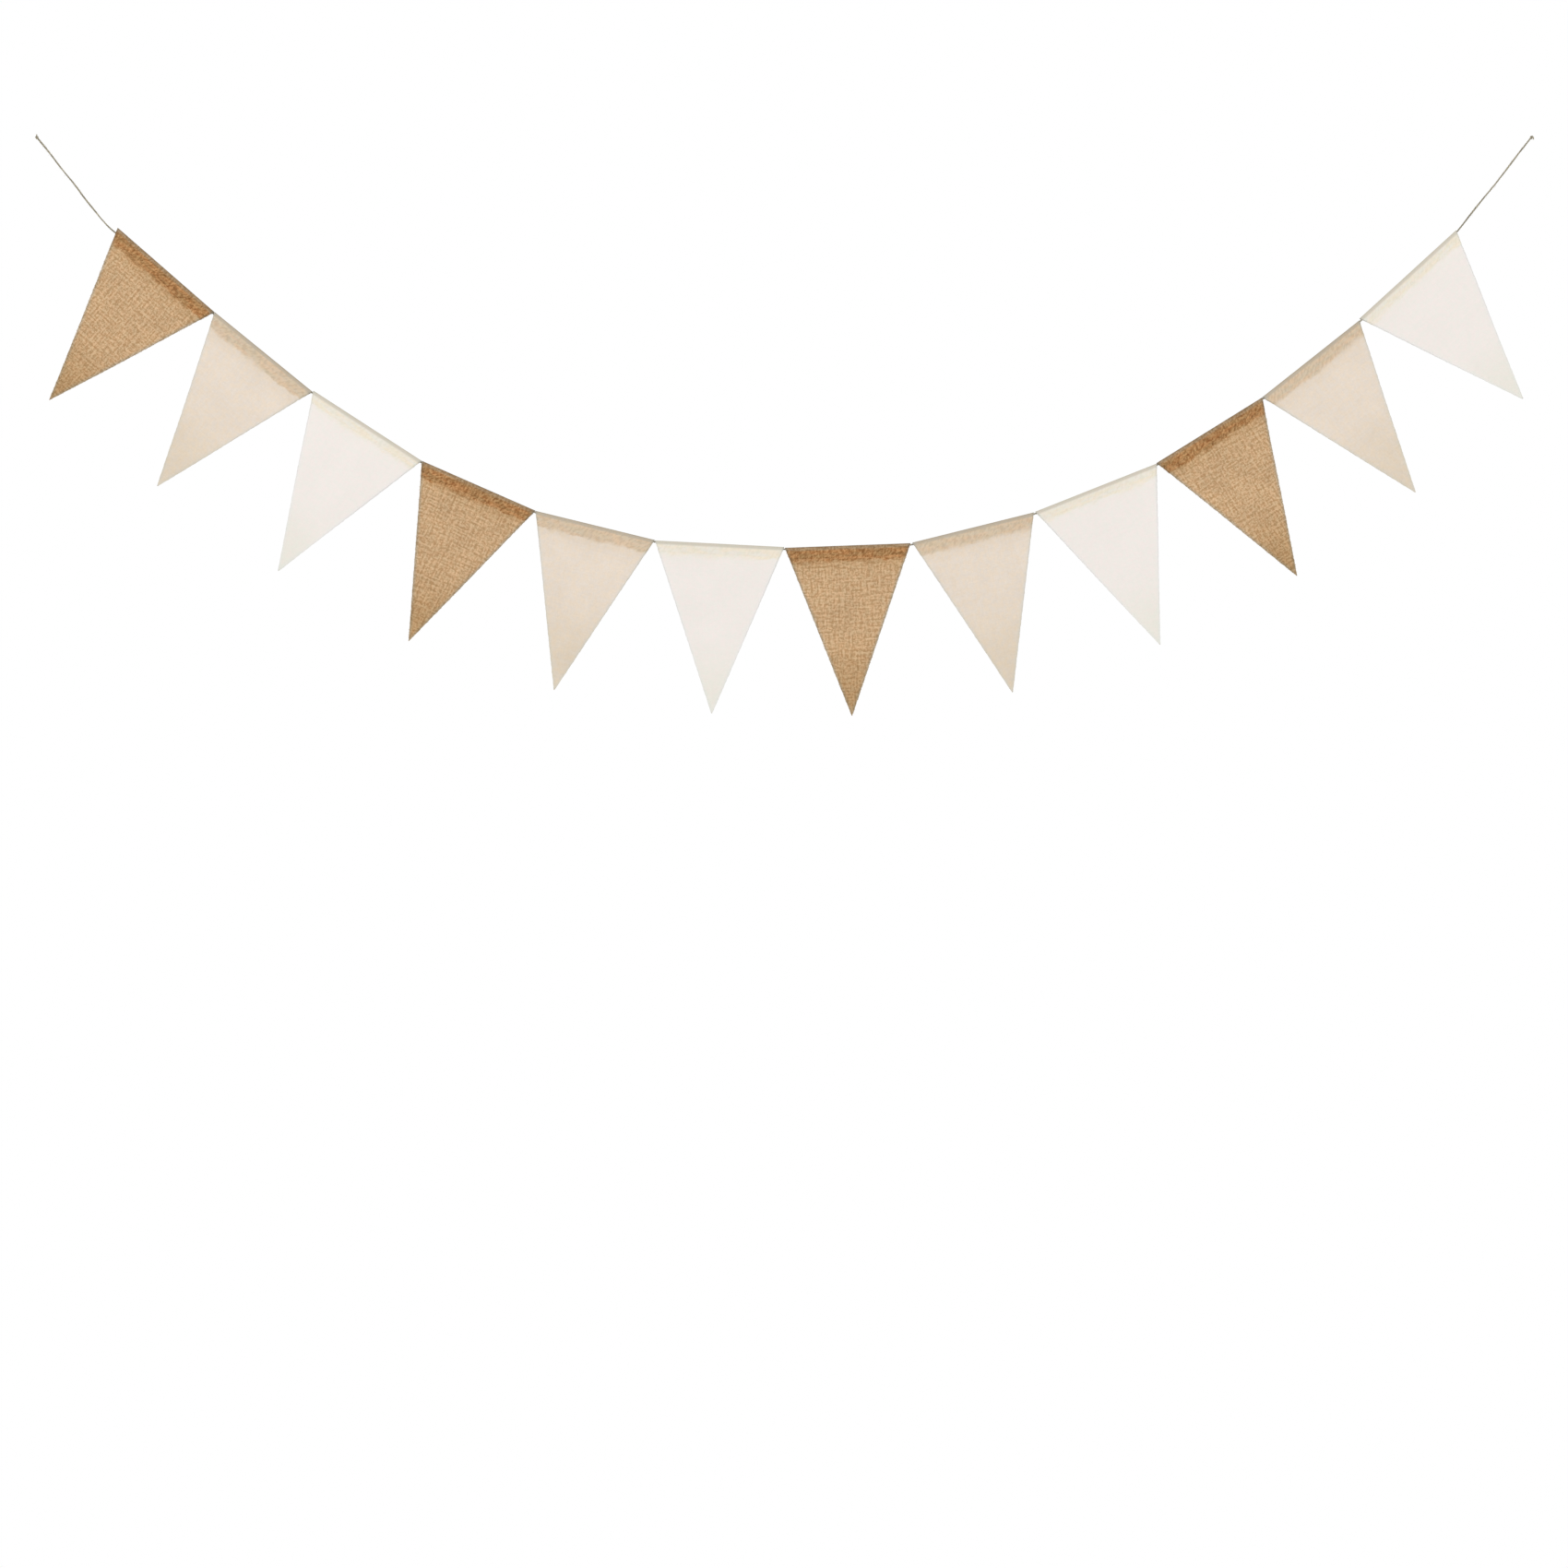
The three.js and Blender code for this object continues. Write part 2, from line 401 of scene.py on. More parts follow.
def hair_mesh():
    """Loose hairs of the twine where it shows: each leaves its side, bends over and thins out."""
    luck = np.random.default_rng(HAIR_SEED)
    distance = distance_along(TWINE_LINE)
    end = distance[-1]
    seats = np.concatenate([
        luck.uniform(HAIRLESS_END, HAIRY_LENGTH, HAIRS_A_TAIL),
        luck.uniform(end - HAIRY_LENGTH, end - HAIRLESS_END, HAIRS_A_TAIL),
    ])
    base = twine_points(distance, seats)
    ahead = twine_points(distance, seats + SHORT_STEP)
    direction = unit(ahead - base) * luck.choice([-1, 1], len(seats))[:, None]
    turn = luck.uniform(0, 2 * math.pi, len(seats))[:, None]
    first = unit(np.cross(direction, [0, 1.0, 0]))
    side = first * np.cos(turn) + np.cross(first, direction) * np.sin(turn)
    length = luck.uniform(*HAIR_LENGTHS, len(seats))[:, None, None]
    lift = luck.uniform(*HAIR_LIFTS, len(seats))[:, None, None]
    share = np.linspace(0, 1, HAIR_POINTS)[None, :, None]
    centres = (
        base[:, None]
        + side[:, None] * (HAIR_ROOT + length * lift * share)
        + direction[:, None] * length * (share - HAIR_LEAN_BACK * lift * share**2)
        + np.array([0, 0, -HAIR_DROOP]) * share**2
    )
    radii = HAIR_RADIUS * (1 - HAIR_TAPER * share[..., 0])
    return strands_mesh("hair_strand", centres, radii, HAIR_SIDES)


# Cloth


def fold_radius(cloth):
    """From the twine's centre to the middle of the cloth on the fold."""
    return FOLD_TOP - cloth.thickness / 2


def bend_length(cloth):
    """Cloth used by a quarter of the fold."""
    return fold_radius(cloth) * math.pi / 2


def hem_width(pennant):
    """The length of the pennant's fold."""
    return math.dist(pennant.left, pennant.right) - 2 * BARE_TWINE


def width_at(pennant, height):
    """The pennant's width, which falls in a straight line from the hem to the tip."""
    tip = FOLD_TOP - pennant.drop
    return TIP_WIDTH + (hem_width(pennant) - TIP_WIDTH) * (height - tip) / -tip


def tip_run(pennant):
    """The run of the tip, where run is the distance along the cloth from the top of the fold."""
    return bend_length(CLOTHS[pennant.cloth]) + pennant.drop - FOLD_TOP


# How the cloth strays from its plain shape, in metres and radians a metre. own times the pennant's
# number starts each wave, so that no two pennants are alike.
Wave = namedtuple("Wave", "rise across down own")
RAW_EDGE_LIFT = 0.0007
RAW_EDGE_WAVE = Wave(0.5, 9, 0, 1.9)
RIPPLES = (Wave(0.0003, 105, 23, 2.3), Wave(0.0002, 61, -88, 4.1))
RIPPLES_FADE = 0.03
PUCKER_DEPTH = 0.00007
PUCKER_REACH = 0.004
PUCKER_RATE = 660
PUCKER_DRIFT = Wave(2, 83, 0, 1)
EDGE_POWER = 14
CURL = Wave(0.0005, 1.3, 47, 1.7)
CUT_WAVES = (Wave(0.0001, 1, 390, 3.1), Wave(0.0001, -2, 910, 1.3))


def wave(kind, across, down, number):
    """rise * sin(across * rate + down * rate + number * own)"""
    return kind.rise * np.sin(across * kind.across + down * kind.down + number * kind.own)


def hang(pennant, run, across, proud=0.0, beyond=0.0):
    """Points of a pennant as it hangs, for a run down the cloth and a share across it.

    run is 0 on top of the fold, grows down the front to the tip and falls down the back to the raw
    edge; across is -1 on the left cut and 1 on the right. On the fold the cloth is an arc round the
    twine. Below it, front and back draw together to the seam on a smooth S. proud moves the point out
    of the cloth's middle, and beyond moves it past the cut in the plane of the cloth. The whole then
    leans, swings, twists and bellies as the table says, with ripples below the hem, puckers at the
    seam, a wavy cut and a slight curl along it.
    """
    cloth = CLOTHS[pennant.cloth]
    number = PENNANTS.index(pennant)
    run, across = np.broadcast_arrays(np.asarray(run, float), np.asarray(across, float))
    fold = fold_radius(cloth)
    bend = bend_length(cloth)
    turn = np.clip(run, -bend, bend) / fold
    down = np.maximum(np.abs(run) - bend, 0)
    seam = cloth.hem - SEAM_ALLOWANCE
    together = cloth.thickness / 2 + LAYER_GAP
    stand = fold + (together - fold) * ease(0, seam, down)
    loose = 0.5 + wave(RAW_EDGE_WAVE, across, 0, number)
    stand = stand + np.where(run < 0, RAW_EDGE_LIFT * loose * ease(seam, cloth.hem, down), 0)
    height = (fold + proud) * np.cos(turn) - down
    depth = -np.sin(turn) * (stand + proud)

    tip = FOLD_TOP - pennant.drop
    width = width_at(pennant, height)
    side = across * width / hem_width(pennant)
    below = np.maximum(-height - RELIEF_START, 0) / (-tip - RELIEF_START)
    bow = np.sin(math.pi * np.clip(below, 0, 1))
    back = pennant.swing * below + pennant.twist * side * bow + pennant.belly * bow * (1 - side**2)
    x = across * width / 2
    free = ease(seam, seam + RIPPLES_FADE, -height)
    for ripple in RIPPLES:
        back = back + free * wave(ripple, x, height, number)
    near_seam = np.exp(-(((-height - seam) / PUCKER_REACH) ** 2))
    pucker = np.sin(x * PUCKER_RATE + wave(PUCKER_DRIFT, x, 0, number))
    back = back + PUCKER_DEPTH * near_seam * pucker
    edge = np.clip(np.abs(across), 0, 1) ** EDGE_POWER
    back = back + edge * free * wave(CURL, np.sign(across), height, number)
    wander = sum(wave(kind, across, run, number) for kind in CUT_WAVES)
    x = x + edge * np.sign(across) * wander
    x = x + beyond + pennant.lean * (FOLD_TOP - height) / pennant.drop

    middle_x = (pennant.left[0] + pennant.right[0]) / 2
    middle_z = (pennant.left[1] + pennant.right[1]) / 2
    slope = math.atan2(pennant.right[1] - pennant.left[1], pennant.right[0] - pennant.left[0])
    return np.stack(
        [
            middle_x + x * math.cos(slope) - height * math.sin(slope),
            depth + back,
            middle_z + x * math.sin(slope) + height * math.cos(slope),
        ],
        axis=-1,
    )


def stepped(stops, pitches):
    """Values from stop to stop, in even steps of about each stretch's pitch."""
    stretches = [
        np.linspace(low, high, max(1, round((high - low) / pitch)), endpoint=False)
        for low, high, pitch in zip(stops, stops[1:], pitches)
    ]
    return np.concatenate([*stretches, stops[-1:]])


# Pitches of the rows at the back of the hem, round the fold, at the front of the hem and below it
ROW_PITCHES = (0.0013, 0.0005, 0.0013, 0.0022)
COLUMNS = 63
# Between the pennants' places on the cloth map, so that no two show the same yarns
MAP_STEP = 0.37


def pennant_mesh(pennant):
    """The outer and the inner side of the cloth as two grids of hang(), half a thickness apart, with
    a rim along the cuts. The cloth map holds metres across and along the run, so the weave keeps its
    size round the fold, and the cuts map holds the distance to the left and to the right cut."""
    cloth = CLOTHS[pennant.cloth]
    bend = bend_length(cloth)
    stops = [-bend - cloth.hem, -bend, bend, bend + cloth.hem, tip_run(pennant)]
    run = stepped(stops, ROW_PITCHES)[:, None]
    across = np.linspace(-1, 1, COLUMNS)[None, :]
    outer = hang(pennant, run, across, cloth.thickness / 2)
    inner = hang(pennant, run, across, -cloth.thickness / 2)
    rows, columns = outer.shape[:2]

    number = np.arange(rows * columns).reshape(rows, columns)
    front = np.stack([number[:-1, :-1], number[1:, :-1], number[1:, 1:], number[:-1, 1:]], axis=-1)
    front = front.reshape(-1, 4)
    shift = rows * columns
    border = np.concatenate([number[:-1, 0], number[-1, :-1], number[:0:-1, -1], number[0, :0:-1]])
    onward = np.roll(border, -1)
    rim = np.stack([onward, border, border + shift, onward + shift], axis=-1)
    points = np.concatenate([outer.reshape(-1, 3), inner.reshape(-1, 3)])

    height = np.where(np.abs(run) < bend, 0, bend - np.abs(run))
    half = width_at(pennant, height) / 2
    offset = MAP_STEP * PENNANTS.index(pennant)
    flat = np.stack([across * half + offset, np.broadcast_to(run, (rows, columns))], axis=-1)
    cuts = np.stack([(1 + across) * half, (1 - across) * half], axis=-1)
    face_sets = [front, front[:, ::-1] + shift, rim]
    corners = np.concatenate([faces.ravel() for faces in face_sets]) % shift
    uv_maps = {"cloth": flat.reshape(-1, 2)[corners], "cuts": cuts.reshape(-1, 2)[corners]}
    return make_mesh("pennant_cloth", points, face_sets, [True, True, False], uv_maps)


# Yarn ends. spacing and stray are in yarns, and the shortest end is that share of the cloth's fray.
# On the cuts the share is raised to FEW_LONG.
Fringe = namedtuple("Fringe", "spacing stray shortest")
CUT_FRINGE = Fringe(1.05, 0.2, 0.15)
RAW_FRINGE = Fringe(1.3, 0.3, 0.2)
FEW_LONG = 1.5
CUT_BENDS = (-0.35, 0.5)
CUT_RISE = 0.25
TIP_SEATS = (-0.6, 0.0, 0.6)
TIP_LENGTHS = (0.5, 1.1)
YARN_ROOT = 0.0003
YARN_MARGIN = 0.001
YARN_TAPER = (1, 1, 0.85, 0.45)


def fringe_seats(low, high, fringe, yarn, luck):
    """Even seats from low to high, each of which strays a little."""
    seats = np.arange(low, high, yarn * fringe.spacing)
    return (seats + luck.uniform(-fringe.stray, fringe.stray, len(seats)) * yarn)[:, None]


def cut_yarns(pennant, luck):
    """Centre lines of the yarn ends along the two cuts, the raw edge at the back and the tip.

    Each starts just inside the cloth and runs straight out of its edge. Those on the cuts also bend
    along the cut, by the square of the share of their length.
    """
    cloth = CLOTHS[pennant.cloth]
    raw_edge = -bend_length(cloth) - cloth.hem
    tip = tip_run(pennant)
    share = np.linspace(0, 1, len(YARN_TAPER))[None, :]
    lines = []
    for hand in (-1, 1):
        seats = fringe_seats(raw_edge + YARN_MARGIN, tip - 2 * YARN_MARGIN, CUT_FRINGE, cloth.yarn, luck)
        shares = luck.uniform(CUT_FRINGE.shortest, 1, len(seats))[:, None]
        length = cloth.fray * shares**FEW_LONG
        bent = luck.uniform(*CUT_BENDS, len(seats))[:, None] * length
        rise = luck.uniform(-CUT_RISE, CUT_RISE, len(seats))[:, None] * cloth.thickness
        past_cut = hand * ((length + YARN_ROOT) * share - YARN_ROOT)
        lines.append(hang(pennant, seats + bent * share**2, hand, rise, past_cut))
    half = hem_width(pennant) / 2
    seats = fringe_seats(-half + YARN_MARGIN, half - YARN_MARGIN, RAW_FRINGE, cloth.yarn, luck)
    length = cloth.fray * luck.uniform(RAW_FRINGE.shortest, 1, len(seats))[:, None]
    run = raw_edge + YARN_ROOT - (length + YARN_ROOT) * share
    raw_half = width_at(pennant, -cloth.hem) / 2
    lines.append(hang(pennant, run, np.clip(seats / raw_half, -1, 1)))
    seats = np.array(TIP_SEATS)[:, None]
    length = cloth.fray * luck.uniform(*TIP_LENGTHS, len(seats))[:, None]
    lines.append(hang(pennant, tip - YARN_ROOT + (length + YARN_ROOT) * share, seats))
    return np.concatenate(lines)


# Stitches of the hem: from one to the next, their length, and the room kept at the two cuts
STITCH_PITCH = 0.0031
STITCH_LENGTH = 0.0026
STITCH_START = 0.0012
STITCH_STOP = 0.0036
STITCH_SLANT = 0.00012
STITCH_RADIUS = 0.00016
# Where a stitch's four points are along it, and how far they stand out of the cloth's face
STITCH_SHARES = (0, 0.25, 0.75, 1)
STITCH_RISES = (-0.00018, 0.00006, 0.00006, -0.00018)


def stitch_lines(pennant, luck):
    """Running stitches that close the tunnel, front and back: each rises out of the cloth and dips in
    again at its ends."""
    cloth = CLOTHS[pennant.cloth]
    seam = bend_length(cloth) + cloth.hem - SEAM_ALLOWANCE
    half = width_at(pennant, -(cloth.hem - SEAM_ALLOWANCE)) / 2
    starts = np.arange(-half + STITCH_START, half - STITCH_STOP, STITCH_PITCH)[:, None]
    share = np.array([STITCH_SHARES])
    rise = np.array([STITCH_RISES]) + cloth.thickness / 2
    lines = []
    for hand in (1, -1):
        shift = 0 if hand > 0 else STITCH_PITCH / 2
        slant = luck.uniform(-STITCH_SLANT, STITCH_SLANT, len(starts))[:, None]
        x = starts + shift + STITCH_LENGTH * share
        lines.append(hang(pennant, hand * (seam + slant * (share - 0.5)), x / half, rise))
    return np.concatenate(lines)


# Nodes


class Nodes:
    """Adds nodes to one tree. A value is another node's output or a plain number or colour."""

    def __init__(self, tree):
        self.tree = tree

    def join(self, value, socket):
        if isinstance(value, bpy.types.NodeSocket):
            self.tree.links.new(value, socket)
        else:
            socket.default_value = value

    def add(self, kind, inputs=None, **settings):
        node = self.tree.nodes.new(kind)
        for key, value in settings.items():
            setattr(node, key, value)
        for key, value in (inputs or {}).items():
            self.join(value, node.inputs[key])
        return node

    def math(self, operation, *values):
        return self.add("ShaderNodeMath", dict(enumerate(values)), operation=operation).outputs[0]

    def noise(self, vector, scale, detail=2.0):
        inputs = {"Vector": vector, "Scale": scale, "Detail": detail}
        return self.add("ShaderNodeTexNoise", inputs).outputs[0]

    def plus(self, first, second):
        return self.math("ADD", first, second)

    def minus(self, first, second):
        return self.math("SUBTRACT", first, second)

    def times(self, first, second):
        return self.math("MULTIPLY", first, second)

    def vector(self, x, y, z=0.0):
        return self.add("ShaderNodeCombineXYZ", {0: x, 1: y, 2: z}).outputs[0]

    def stretched(self, x, y, x_scale, y_scale, z=0.0):
        """The vector (x * x_scale, y * y_scale, z)."""
        return self.vector(self.times(x, x_scale), self.times(y, y_scale), z)

    def tinted(self, share, colour, tint):
        """The colour multiplied by a tint, by that share."""
        return self.blend(share, colour, tint, "MULTIPLY")

    def about(self, vector, scale, detail=2.0):
        """Noise about 0 in place of 0.5."""
        return self.minus(self.noise(vector, scale, detail), 0.5)

    def split(self, vector):
        return self.add("ShaderNodeSeparateXYZ", {0: vector}).outputs

    def between(self, value, low, high, at_low=0.0, at_high=1.0):
        inputs = {0: value, 1: low, 2: high, 3: at_low, 4: at_high}
        return self.add("ShaderNodeMapRange", inputs, interpolation_type="SMOOTHSTEP").outputs[0]

    def blend(self, share, first, second, how="MIX"):
        inputs = {0: share, 6: first, 7: second}
        return self.add("ShaderNodeMix", inputs, data_type="RGBA", blend_type=how).outputs[2]

    def group(self, tree, inputs):
        node = self.tree.nodes.new("ShaderNodeGroup")
        node.node_tree = tree
        for key, value in inputs.items():
            self.join(value, node.inputs[key])
        return node.outputs


def new_group(name, place, values, outputs):
    """A shader node group with one vector input, number inputs and number outputs: (nodes, the group's
    inputs, the group's output node)."""
    tree = bpy.data.node_groups.new(name, "ShaderNodeTree")
    tree.interface.new_socket(name=place, in_out="INPUT", socket_type="NodeSocketVector")
    for label in values:
        tree.interface.new_socket(name=label, in_out="INPUT", socket_type="NodeSocketFloat")
    for label in outputs:
        tree.interface.new_socket(name=label, in_out="OUTPUT", socket_type="NodeSocketFloat")
    nodes = Nodes(tree)
    return nodes, nodes.add("NodeGroupInput").outputs, nodes.add("NodeGroupOutput")


# The weave's noises: scales for each metre, layers that keep two noises apart, and the yarns from one
# rib to the next
YARN_DRIFT_SCALE = 45.0
YARN_DRIFT = 2.0
YARN_STEP = 7.31
YARN_SCALE = 240.0
YARN_LAYERS = (0.0, 9.0)
YARN_CONTRAST = 3.0
Stroke = namedtuple("Stroke", "socket narrow long detail layers")
STROKES = (
    Stroke("Streak", 540.0, 290.0, 2.0, (3.0, 7.0)),
    Stroke("Thread", 420.0, 26.0, 1.0, (5.0, 9.0)),
)
RIB_YARNS = (3.0, 5.2)
RIB_SCALES = (60.0, 50.0)
RIB_LAYER = 11.0


def woven_yarns_group():
    """Plain weave: warp shows where sin(pi u) sin(pi v) is above 0 and weft where it is below, u and v
    counting yarns. Height is the yarn's crown. Tone is the yarn's own, with streaks, threads and ribs
    both ways across the cloth. A rib is a sine of the count of yarns times a slow noise."""
    values = ["Pitch", "Slub", "Streak", "Thread", "Rib"]
    nodes, given, out = new_group("Woven yarns", "Cloth", values, ["Tone", "Height"])
    u, v, _ = nodes.split(given["Cloth"])
    drift = nodes.times(nodes.about(given["Cloth"], YARN_DRIFT_SCALE), YARN_DRIFT)
    u_yarn = nodes.plus(nodes.math("DIVIDE", u, given["Pitch"]), drift)
    v_yarn = nodes.minus(nodes.math("DIVIDE", v, given["Pitch"]), drift)
    u_wave = nodes.math("SINE", nodes.times(u_yarn, math.pi))
    v_wave = nodes.math("SINE", nodes.times(v_yarn, math.pi))
    crossing = nodes.times(u_wave, v_wave)
    over = nodes.math("GREATER_THAN", crossing, 0.0)
    height = nodes.math("SQRT", nodes.math("ABSOLUTE", crossing))

    warp_layer, weft_layer = YARN_LAYERS
    warp = nodes.stretched(nodes.math("FLOOR", u_yarn), v, YARN_STEP, YARN_SCALE, warp_layer)
    weft = nodes.stretched(u, nodes.math("FLOOR", v_yarn), YARN_SCALE, YARN_STEP, weft_layer)
    tone = nodes.blend(over, nodes.noise(weft, 1.0, detail=1.0), nodes.noise(warp, 1.0, detail=1.0))
    tone = nodes.minus(tone, 0.5)
    tone = nodes.times(nodes.times(tone, YARN_CONTRAST), given["Slub"])

    for stroke in STROKES:
        down_layer, along_layer = stroke.layers
        down = nodes.stretched(u, v, stroke.narrow, stroke.long, down_layer)
        along = nodes.stretched(u, v, stroke.long, stroke.narrow, along_layer)
        down = nodes.about(down, 1.0, stroke.detail)
        along = nodes.about(along, 1.0, stroke.detail)
        both = nodes.times(nodes.plus(down, along), given[stroke.socket])
        tone = nodes.plus(tone, both)

    for number, yarns_each in enumerate(RIB_YARNS):
        turn = 2 * math.pi / yarns_each
        for count, ahead, aside in ((u_yarn, v, u), (v_yarn, u, v)):
            place = nodes.stretched(aside, ahead, *RIB_SCALES, RIB_LAYER + number)
            gathered = nodes.about(place, 1.0, detail=0.0)
            rib = nodes.times(nodes.math("SINE", nodes.times(count, turn)), gathered)
            tone = nodes.plus(tone, nodes.times(rib, given["Rib"]))
    nodes.join(tone, out.inputs["Tone"])
    nodes.join(height, out.inputs["Height"])
    return nodes.tree


# The doubled hem: how its edge wanders and softens, and the runs over which the fold's lines of
# painted shade and the painted shadow below the hem fade out
EDGE_WANDER = 0.011
EDGE_SCALE = 75.0
EDGE_DETAIL = 4.0
EDGE_SOFTNESS = (0.0009, 0.0050)
SOFTNESS_SCALE = 33.0
SOFTNESS_NOISE = (0.35, 0.65)
RIDGE = (0.0008, 0.0032)
FOLD = (0.0034, 0.0064)
UNDER_REACH = 0.018
SPECKLE_SCALES = (300.0, 120.0)
SPECKLE_DETAIL = 3.0
SPECKLE_NOISE = (0.44, 0.62)


def doubled_hem_group():
    """Where the cloth lies double: Band, the mask of the hem's painted shade, is where the size of the
    run is under Depth, with a soft edge that wanders by two millimetres. Fold is the narrow line of
    painted shade along the fold, where it turns away and the twine shows through, and Ridge the very
    top of it, Speckle the slanted strokes where the two layers show through each other, and Under the
    painted shadow that fades out below the hem."""
    masks = ["Band", "Fold", "Ridge", "Speckle", "Under"]
    nodes, given, out = new_group("Doubled hem", "Cloth", ["Depth"], masks)
    across, run, _ = nodes.split(given["Cloth"])
    run = nodes.math("ABSOLUTE", run)
    wander = nodes.about(given["Cloth"], EDGE_SCALE, EDGE_DETAIL)
    edge = nodes.plus(given["Depth"], nodes.times(wander, EDGE_WANDER))
    soft = nodes.between(nodes.noise(given["Cloth"], SOFTNESS_SCALE), *SOFTNESS_NOISE, *EDGE_SOFTNESS)
    band = nodes.between(run, nodes.minus(edge, soft), nodes.plus(edge, soft), 1.0, 0.0)
    rising = nodes.plus(across, run)
    falling = nodes.minus(across, run)
    slanted = nodes.stretched(rising, falling, *SPECKLE_SCALES)
    spots = nodes.between(nodes.noise(slanted, 1.0, SPECKLE_DETAIL), *SPECKLE_NOISE)
    under_end = nodes.plus(edge, UNDER_REACH)
    nodes.join(band, out.inputs["Band"])
    nodes.join(nodes.between(run, *FOLD, 1.0, 0.0), out.inputs["Fold"])
    nodes.join(nodes.between(run, *RIDGE, 1.0, 0.0), out.inputs["Ridge"])
    nodes.join(nodes.times(band, spots), out.inputs["Speckle"])
    nodes.join(nodes.between(run, edge, under_end, 1.0, 0.0), out.inputs["Under"])
    return nodes.tree


# The mottle's fine noise against its broad one, and the contrast of the two together
MOTTLE_FINER = 6.0
MOTTLE_FINE_SHARE = 0.5
MOTTLE_CONTRAST = 2.4


def mottle_group():
    """Soft uneven colour about 0: a broad noise, and one half as strong at six times the scale."""
    nodes, given, out = new_group("Cloth mottle", "Cloth", ["Scale"], ["Value"])
    broad = nodes.about(given["Cloth"], given["Scale"])
    fine = nodes.about(given["Cloth"], nodes.times(given["Scale"], MOTTLE_FINER))
    both = nodes.plus(broad, nodes.times(fine, MOTTLE_FINE_SHARE))
    nodes.join(nodes.times(both, MOTTLE_CONTRAST), out.inputs["Value"])
    return nodes.tree


# Spun fibre: scales for each metre, how wide a strand is in the fine noise, and each noise's share
FINE_FIBRE_SCALE = 240.0
FINE_FIBRE_NOISE = (1.7, 3.0)
FINE_FIBRE_SHARE = 1.6
BROAD_FIBRE_SCALE = 75.0
BROAD_FIBRE_LAYER = 0.3
BROAD_FIBRE_SHARE = 3.2
STRAND_IN_NOISE = 1.6


def spun_fibre_group():
    """Fibres that wind round a strand: a noise stretched along the direction that turns once a Lay, with
    a broad one along the strand."""
    nodes, given, out = new_group("Spun fibre", "Strand", ["Lay"], ["Tone", "Height"])
    along, around, _ = nodes.split(given["Strand"])
    wound = nodes.plus(around, nodes.math("DIVIDE", along, given["Lay"]))
    angle = nodes.times(wound, 2 * math.pi)
    x = nodes.times(nodes.math("COSINE", angle), STRAND_IN_NOISE)
    y = nodes.times(nodes.math("SINE", angle), STRAND_IN_NOISE)
    fine_place = nodes.vector(nodes.times(along, FINE_FIBRE_SCALE), x, y)
    broad_place = nodes.vector(nodes.times(along, BROAD_FIBRE_SCALE), BROAD_FIBRE_LAYER)
    fine = nodes.about(fine_place, *FINE_FIBRE_NOISE)
    broad = nodes.about(broad_place, 1.0)
    fine_tone = nodes.times(fine, FINE_FIBRE_SHARE)
    broad_tone = nodes.times(broad, BROAD_FIBRE_SHARE)
    nodes.join(nodes.plus(fine_tone, broad_tone), out.inputs["Tone"])
    nodes.join(fine, out.inputs["Height"])
    return nodes.tree


WOVEN_YARNS = woven_yarns_group()
DOUBLED_HEM = doubled_hem_group()
CLOTH_MOTTLE = mottle_group()
SPUN_FIBRE = spun_fibre_group()

